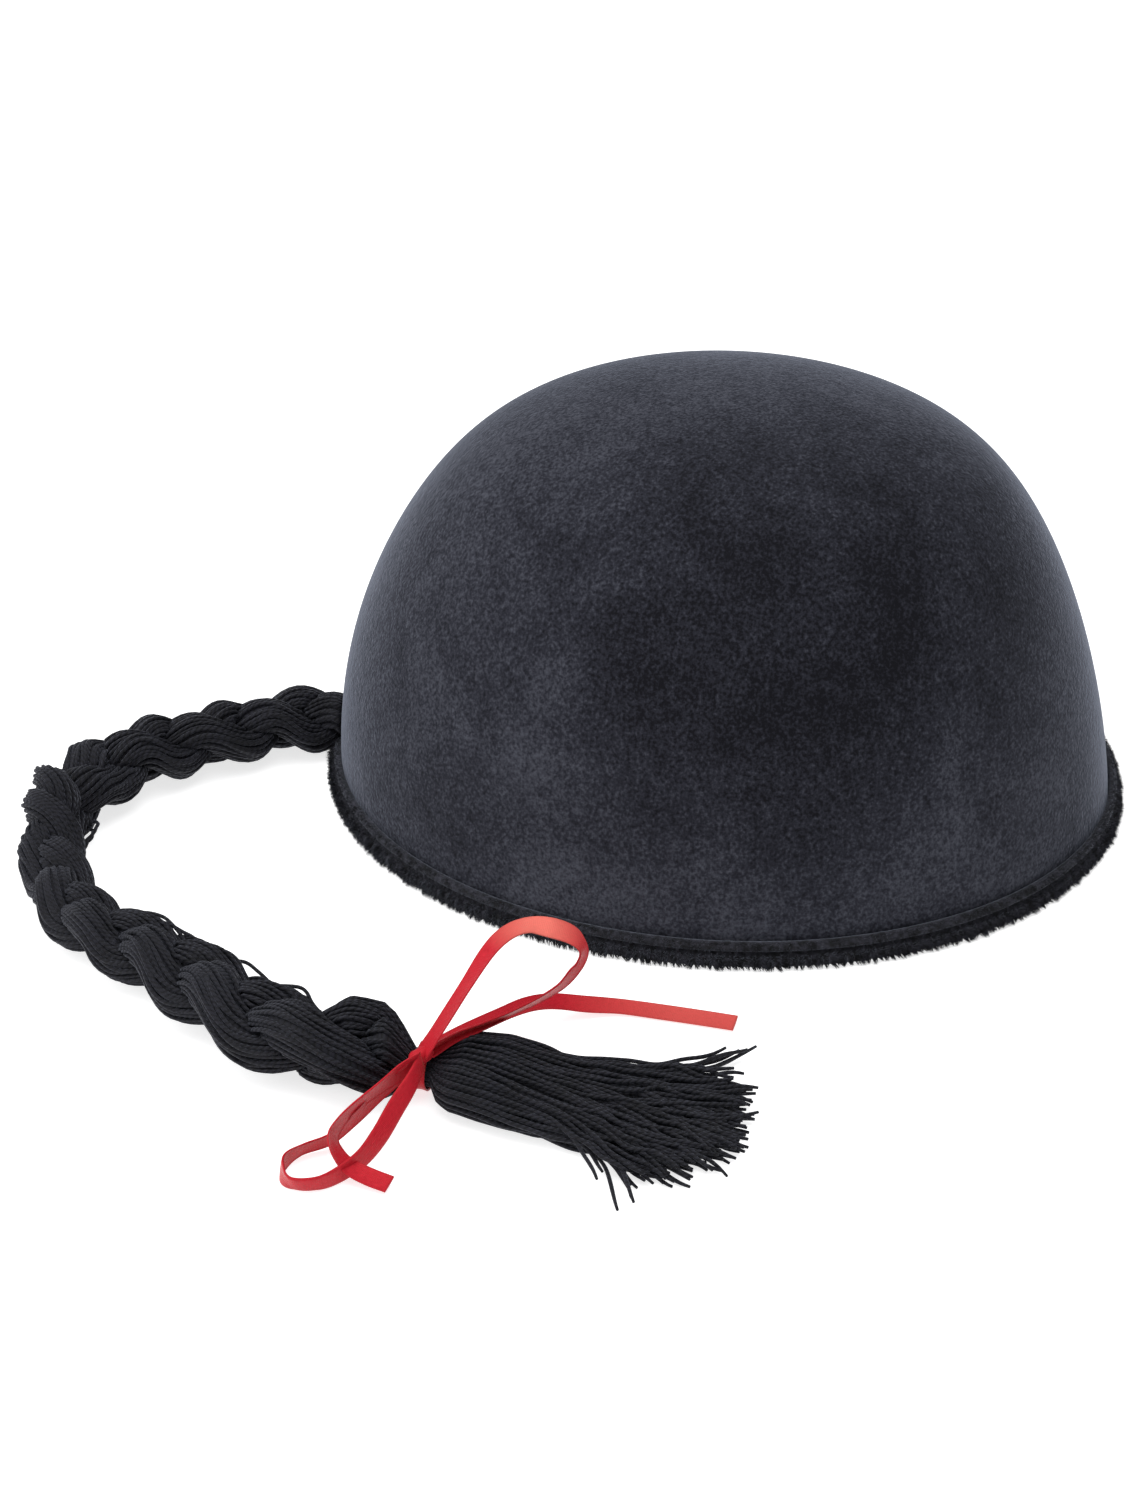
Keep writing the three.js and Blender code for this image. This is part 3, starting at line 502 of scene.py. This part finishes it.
def ribbon_round(turns=64):
    """The ribbon round the waist: its section carried round an oval a hair wider than the waist,
    drawn in and creased by the knot."""
    a = np.linspace(0, 2 * np.pi, turns, endpoint=False)
    section = ribbon_section()
    crease = CREASE * np.sin(9 * np.pi * section[:, 0])[None] * (0.5 + 0.5 * np.sin(a))[:, None]
    out = ROUND_GAP - section[:, 1] * RIBBON_HALF_THICKNESS + crease
    narrow = 1 - 0.28 * np.sin(a)[:, None] ** 8 * (np.sin(a)[:, None] > 0)
    x = (WAIST_HALF[0] + out) * np.cos(a)[:, None]
    z = WAIST_HEIGHT + (WAIST_HALF[1] + out) * np.sin(a)[:, None]
    y = ROUND_PLACE + 0.75 * section[:, 0] * RIBBON_HALF_WIDTH * narrow
    ahead = np.array([np.cos(TASSEL_HEADING), np.sin(TASSEL_HEADING), 0])
    level = np.array([ahead[1], -ahead[0], 0])
    points = TASSEL_PLACE + x[..., None] * level + y[..., None] * ahead + z[..., None] * UP
    return surface(points[None], endless=True)


def bow_knot(rows=18, columns=32):
    """The knot: an oval lump whose radius is drawn in along three slanting folds."""
    a = np.linspace(0.06, np.pi - 0.06, rows)[:, None]
    b = 2 * np.pi * np.arange(columns)[None] / columns
    fold = 1 - 0.13 * np.abs(np.cos(1.5 * b + 1.4 * a)) ** 6
    x = -KNOT_HALF[0] * np.cos(a) * np.ones_like(b)
    y = KNOT_HALF[1] * np.sin(a) ** 0.7 * np.cos(b) * fold
    z = KNOT_HALF[2] * np.sin(a) ** 0.7 * np.sin(b) * fold
    cos, sin = np.cos(KNOT_SLANT), np.sin(KNOT_SLANT)
    points = np.stack([x * cos - y * sin, x * sin + y * cos, z], -1)
    return surface((points + KNOT_PLACE)[None])


satin = Finish("red_satin", Roughness=0.35, Specular_IOR_Level=0.12, Specular_Tint=(1, 0.5, 0.35, 1),
               Sheen_Weight=0.2, Sheen_Roughness=0.3, Sheen_Tint=(1, 0.3, 0.22, 1))
satin_place = satin.node("TexCoord")
satin_uv = satin.node("SeparateXYZ", {"Vector": satin_place.outputs["UV"]}).outputs
WEFT_PITCH = 0.42 * MM
WARP_THREADS = 36
weft = satin.maths("SINE", satin.maths("MULTIPLY", satin_uv[1], 2 * np.pi / WEFT_PITCH))
warp = satin.maths("SINE", satin.maths("MULTIPLY", satin_uv[0], 2 * np.pi * WARP_THREADS))
weave = satin.maths("ADD", satin.maths("MULTIPLY", weft, 0.7), satin.maths("MULTIPLY", warp, 0.4))
threads = satin.node("CombineXYZ", {"X": satin.maths("MULTIPLY", satin_uv[0], 60),
                                    "Y": satin.maths("MULTIPLY", satin_uv[1], 700)}).outputs[0]
slub = satin.noise(threads, 1.0, 3)
# Painted highlight: the satin's base colour is mixed towards a paler red where it bends over at
# the top of the standing loop, and on the far tail that lies flat, standing in for light from above.
# Each row: the middle of the place and the distance that it fades out in, in millimetres, and how
# much of the paler red it has.
SATIN_PAINTED_HIGHLIGHTS = (([-133, 18, 36], 15, 0.34), ([-112, -20, 1], 42, 0.16))
PAINTED_HIGHLIGHT_RED = (1, 0.36, 0.26, 1)
satin_face = satin.ramp(slub, [(0.3, (0.34, 0.009, 0.017)), (0.7, (0.48, 0.018, 0.03))])
for shine_place, shine_reach, shine in SATIN_PAINTED_HIGHLIGHTS:
    shine_middle = tuple(MM * np.array(shine_place))
    away = satin.node("VectorMath", {0: satin_place.outputs["Object"], 1: shine_middle},
                      operation="DISTANCE").outputs["Value"]
    painted_highlight = satin.ramp(satin.maths("DIVIDE", away, shine_reach * MM), [(0.2, shine), (0.9, 0)])
    # Painted highlight: the paler red is mixed into the satin's base colour here.
    satin_face = satin.node("MixRGB", {0: painted_highlight, 1: satin_face, 2: PAINTED_HIGHLIGHT_RED}).outputs[0]
satin.set("Base Color", satin_face)
satin.set("Roughness", satin.ramp(slub, [(0.3, 0.36), (0.7, 0.22)]))
satin.set("Normal", satin.bump(satin.maths("ADD", weave, slub), 0.03 * MM, 0.7))

bow_parts = [ribbon_length(rows) for rows in (STANDING_LOOP, FAR_TAIL, LYING_LOOP, NEAR_TAIL)]
ribbon = piece("red_ribbon", [*bow_parts, ribbon_round(), bow_knot()], satin.material)
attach(ribbon, "root")
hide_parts("ribbon_bow")


# Crown. A dome of short-pile velvet over a felt body, moulded in one with no seam. It is a little
# flatter on top than a ball, and its lower edge stands in the fold of the binding.
CROWN_HALF = MM * np.array([87.5, 100.5])
CROWN_HEIGHT = 110.8 * MM
CROWN_WALL = 2.5 * MM
CROWN_EDGE = 1.5 * MM
CROWN_LEAN = 1.2 * MM
CROWN_FLATTENING = 0.26  # 0 is a half ellipse from the side, and more is fuller at the shoulder
SHOULDER_POWER = 12  # the sharpness of that shoulder


def crown_face(up, turn, depth):
    """Points on the crown, a depth inside its outer face. At a share t of its height the oval
    keeps the share sqrt(1 - (1 - f) t^2 - f t^p) of its half width and half length, with f the
    flattening and p the shoulder's power. It leans a hair to the back halfway up and to the front
    near its top, as sin 1.4 pi t."""
    fall = (1 - CROWN_FLATTENING) * up**2 + CROWN_FLATTENING * up**SHOULDER_POWER
    share = np.sqrt(np.maximum(0, 1 - fall))
    half = CROWN_HALF - depth
    lean = CROWN_LEAN * np.sin(1.4 * np.pi * up)
    return np.stack([half[0] * share * np.cos(turn), half[1] * share * np.sin(turn) + lean,
                     (CROWN_HEIGHT - depth) * up + 0 * turn], -1)


def crown_shell(columns=260, rows=96):
    """The crown as a closed shell: down its inner face from the top, and up its outer face."""
    turn = 2 * np.pi * np.arange(columns)[None] / columns
    climb = np.linspace(0, 1, rows)[:, None]
    up = np.sin(climb * (np.pi / 2 - 0.004))
    inside = CROWN_EDGE / (CROWN_HEIGHT - CROWN_WALL)
    outside = CROWN_EDGE / CROWN_HEIGHT
    inner = crown_face(np.maximum(up[::-4], inside), turn, CROWN_WALL)
    outer = crown_face(np.maximum(up, outside), turn, 0)
    return surface(np.concatenate([inner, outer])[None])


# The velvet's base colour is darker in a broad patch on the side towards the camera.
DARK_PATCH_MIDDLE = tuple(MM * np.array([-55, -30, 73]))
DARK_PATCH_REACH = 100 * MM
velvet = Finish("crown_velvet", Roughness=0.9, Sheen_Weight=0.38, Sheen_Roughness=0.32,
                Sheen_Tint=(0.6, 0.66, 0.82, 1), Specular_IOR_Level=0.12)
velvet_place = velvet.node("TexCoord").outputs["Object"]
stroked = velvet.noise(velvet_place, 26, 5, 0.62, 0.6)
flecks = velvet.noise(velvet_place, 1150, 2, 0.6)
grain = velvet.noise(velvet_place, 420, 3, 0.65)
off_dark_patch = velvet.node("VectorMath", {0: velvet_place, 1: DARK_PATCH_MIDDLE},
                          operation="DISTANCE").outputs["Value"]
dark_patch = velvet.ramp(velvet.maths("DIVIDE", off_dark_patch, DARK_PATCH_REACH), [(0.25, 0.17), (0.72, 0)])
shade = velvet.maths("ADD", velvet.maths("MULTIPLY", stroked, 0.42), velvet.maths(
    "ADD", velvet.maths("MULTIPLY", flecks, 0.62), velvet.maths("MULTIPLY", grain, 0.26)))
velvet.set("Base Color", velvet.ramp(velvet.maths("SUBTRACT", shade, dark_patch), [
    (0.44, (0.003, 0.003, 0.005)), (0.6, (0.015, 0.0155, 0.022)), (0.8, (0.047, 0.049, 0.062))]))
velvet_low = velvet.bump(stroked, 1.0 * MM, 0.4)
velvet.set("Normal", velvet.bump(velvet.maths("ADD", flecks, grain), 0.35 * MM, 0.7, velvet_low))

crown = piece("velvet_crown", [crown_shell()], velvet.material)
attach(crown, "root")
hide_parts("crown")


# Binding. A strip of long-pile black cloth is folded round the crown's edge and sewn through in a
# groove: above the groove is a narrow ridge, and below it a thick roll whose pile stands out.
RIM_HALF = MM * np.array([91.0, 103.6])
ROLL_MIDDLE = MM * np.array([1.9, 2.2])  # how far in from the outside, and the height
RIDGE_MIDDLE = MM * np.array([2.4, 5.8])
ROLL_UNEVEN = 0.5 * MM
PILE_CLUMPS = 420
STITCH_INSET = 1.9 * MM
STITCH_LOW = 6.85 * MM
STITCH_RISE = 0.3 * MM
THREAD_RADIUS = 0.17 * MM
# The section, from the top of the ridge out and down over the roll, under the edge and up
# inside: how far in from the outside, and the height, in millimetres.
BINDING_SECTION = MM * np.array([
    [3.1, 7.0], [2.2, 7.05], [1.5, 6.7], [1.1, 6.1], [1.2, 5.4], [1.75, 4.75], [2.5, 4.3], [2.0, 4.0],
    [1.1, 3.7], [0.6, 3.2], [0.4, 2.5], [0.5, 1.6], [1.0, 0.8], [2.0, 0.25], [3.4, 0.05], [5.2, 0.0],
    [7.1, 0.1], [7.8, 0.8], [7.8, 2.5], [7.8, 4.5], [7.6, 5.7], [7.1, 6.0], [6.7, 5.7], [6.6, 4.5],
    [6.5, 2.5], [6.4, 1.3], [5.0, 1.2], [3.5, 1.3], [3.3, 2.5], [3.2, 4.6],
])


def binding_strip(columns=BINDING_SECTION.shape[0] * 3, rows=420):
    """The binding: its section carried round the oval, with the roll made uneven by wandering."""
    closed = np.vstack([BINDING_SECTION, BINDING_SECTION[:1]])
    section = smooth_line(closed, columns + 1)[0][:-1]
    turn = 2 * np.pi * np.arange(rows) / rows
    roll = np.exp(-((section[:, 1] - 2.4 * MM) / (1.6 * MM)) ** 2) * (section[:, 0] < 2 * MM)
    phase = chance.uniform(0, 2 * np.pi, 12)
    waves = np.array([np.sin((7 + 11 * k) * turn + phase[k]) for k in range(12)]).mean(0)
    inset = section[None, :, 0] - ROLL_UNEVEN * waves[:, None] * roll[None]
    x = (RIM_HALF[0] - inset) * np.cos(turn)[:, None]
    y = (RIM_HALF[1] - inset) * np.sin(turn)[:, None]
    return np.stack([x, y, section[None, :, 1] + 0 * inset], -1)


def pile_tufts(roots, ahead, length, width):
    """Tufts of pile, each a thin three-sided spike from its root: three points round the root at
    the spike's width, and one at its tip, and the four faces between them."""
    side = unit(np.cross(ahead, UP + 0.01))
    over = np.cross(side, ahead)
    a = 2 * np.pi * np.arange(3) / 3
    round_it = side[:, None] * np.cos(a)[:, None] + over[:, None] * np.sin(a)[:, None]
    base = roots[:, None] + width[:, None, None] * round_it
    points = np.concatenate([base, (roots + ahead * length[:, None])[:, None]], 1)
    faces = np.array([0, 1, 3, 1, 2, 3, 2, 0, 3, 2, 1, 0])
    corners = (faces[None] + 4 * np.arange(len(roots))[:, None]).ravel()
    sizes = np.full(4 * len(roots), 3)
    return points.reshape(-1, 3), corners, sizes, np.zeros((len(corners), 2))


def binding_pile(count, low, high, middle, reach, down, longest):
    """Pile on a roll of the binding. Tufts start between two angles on a round of the given reach
    about the roll's middle (how far in, and the height), and stand out square to it, combed
    down. They lean towards the middle of their clump, and those that would meet the table lie
    along it."""
    turn = chance.uniform(0, 2 * np.pi, count)
    clump = np.floor(turn / (2 * np.pi) * PILE_CLUMPS).astype(int)
    to_clump = (clump + 0.5 + chance.normal(0, 0.2, PILE_CLUMPS)[clump]) * 2 * np.pi / PILE_CLUMPS - turn
    round_it = np.radians(chance.uniform(low, high, count))
    out = unit(np.column_stack([np.cos(turn) / RIM_HALF[0], np.sin(turn) / RIM_HALF[1], 0 * turn]))
    along = np.cross(UP, out)
    inset = middle[0] - reach * np.cos(round_it)
    height = middle[1] + reach * np.sin(round_it)
    x, y = (RIM_HALF[0] - inset) * np.cos(turn), (RIM_HALF[1] - inset) * np.sin(turn)
    roots = np.column_stack([x, y, height])
    length = chance.uniform(0.55, 1.0, count) * longest * (1 + 0.15 * chance.normal(0, 1, PILE_CLUMPS)[clump])
    lean = 0.28 + 0.25 * chance.normal(0, 1, PILE_CLUMPS)[clump] + to_clump * RIM_HALF[1] / length * 0.75
    ahead = out * np.cos(round_it)[:, None] + UP * (np.sin(round_it) - down)[:, None] + along * lean[:, None]
    ahead = unit(ahead + 0.16 * chance.normal(0, 1, (count, 3)))
    rise = np.maximum(ahead[:, 2], (SURFACE_GAP - height) / length)
    ahead = np.column_stack([unit(ahead[:, :2]) * np.sqrt(np.maximum(1 - rise**2, 0))[:, None], rise])
    return pile_tufts(roots, ahead, length, chance.uniform(0.05, 0.09, count) * longest)


def seam_stitches(count=190, steps=7, sides=4):
    """The sewing thread along the top of the ridge: each stitch shows as a low arch."""
    turn = (np.arange(count)[:, None] + np.linspace(0.1, 0.9, steps)[None]) * 2 * np.pi / count
    height = STITCH_RISE * np.sin(np.pi * np.linspace(0, 1, steps))[None] + STITCH_LOW
    half = RIM_HALF - STITCH_INSET
    paths = np.stack([half[0] * np.cos(turn), half[1] * np.sin(turn), height + 0 * turn], -1)
    return surface(rings_round(paths, np.full(turn.shape, THREAD_RADIUS), sides))


pile = Finish("binding_pile", Roughness=0.85, Sheen_Weight=0.3, Sheen_Roughness=0.4,
              Sheen_Tint=(0.6, 0.66, 0.8, 1), Specular_IOR_Level=0.25)
pile_place = pile.node("TexCoord").outputs["Object"]
pile_shade = pile.noise(pile_place, 520, 4, 0.65)
pile.set("Base Color", pile.ramp(pile_shade, [(0.42, (0.002, 0.002, 0.003)), (0.64, (0.026, 0.026, 0.035))]))
pile.set("Normal", pile.bump(pile.noise(pile_place, 1300, 3, 0.7), 0.4 * MM, 0.9))

binding = piece("rim_binding_cloth", [surface(binding_strip()[None], endless=True)], pile.material)
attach(binding, "root")
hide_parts("rim_binding")
roll_pile = binding_pile(
    count=28000, low=-58, high=66, middle=ROLL_MIDDLE, reach=1.5 * MM, down=0.3, longest=1.9 * MM)
ridge_pile = binding_pile(
    count=9000, low=-30, high=70, middle=RIDGE_MIDDLE, reach=1.35 * MM, down=0.5, longest=1.2 * MM)
fringe = piece("rim_binding_pile", [roll_pile, ridge_pile, seam_stitches()], pile.material, smooth=False)
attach(fringe, "root")


# Table and light. The cap stands on a white table in a light tent: soft light comes from all
# round, with more from above and from the left of the camera.
TABLE_HALF = 4
TENT_COLOUR = (0.97, 0.985, 1, 1)
TENT_STRENGTH = 0.62
# Each lamp: its name, its place, its width and its power in watts.
LAMPS = (("overhead", (-0.2, 0.1, 1.5), 1.4, 19), ("left_side", (-0.7, 1.2, 0.9), 1.2, 12))

table_finish = Finish("white_table", Base_Color=(0.6, 0.6, 0.6, 1), Roughness=0.9,
                      Specular_IOR_Level=0.1, Emission_Color=(1, 1, 1, 1), Emission_Strength=0.72)
table_mesh = bpy.data.meshes.new("table")
table_corners = [(x * TABLE_HALF, y * TABLE_HALF, 0) for x, y in ((-1, -1), (1, -1), (1, 1), (-1, 1))]
table_mesh.from_pydata(table_corners, [], [(0, 1, 2, 3)])
table_mesh.materials.append(table_finish.material)
table = bpy.data.objects.new("table", table_mesh)
bpy.context.scene.collection.objects.link(table)

world = bpy.data.worlds.new("light_tent")
world.use_nodes = True
world.node_tree.nodes["Background"].inputs["Color"].default_value = TENT_COLOUR
world.node_tree.nodes["Background"].inputs["Strength"].default_value = TENT_STRENGTH
bpy.context.scene.world = world
bpy.context.scene.view_settings.view_transform = "Standard"

for name, place, width, power in LAMPS:
    lamp = bpy.data.lights.new(name, "AREA")
    lamp.size = width
    lamp.energy = power
    lamp_object = bpy.data.objects.new(name, lamp)
    lamp_object.location = place
    lamp_object.rotation_mode = "QUATERNION"
    lamp_object.rotation_quaternion = (-Vector(place)).to_track_quat("-Z", "Y")
    bpy.context.scene.collection.objects.link(lamp_object)
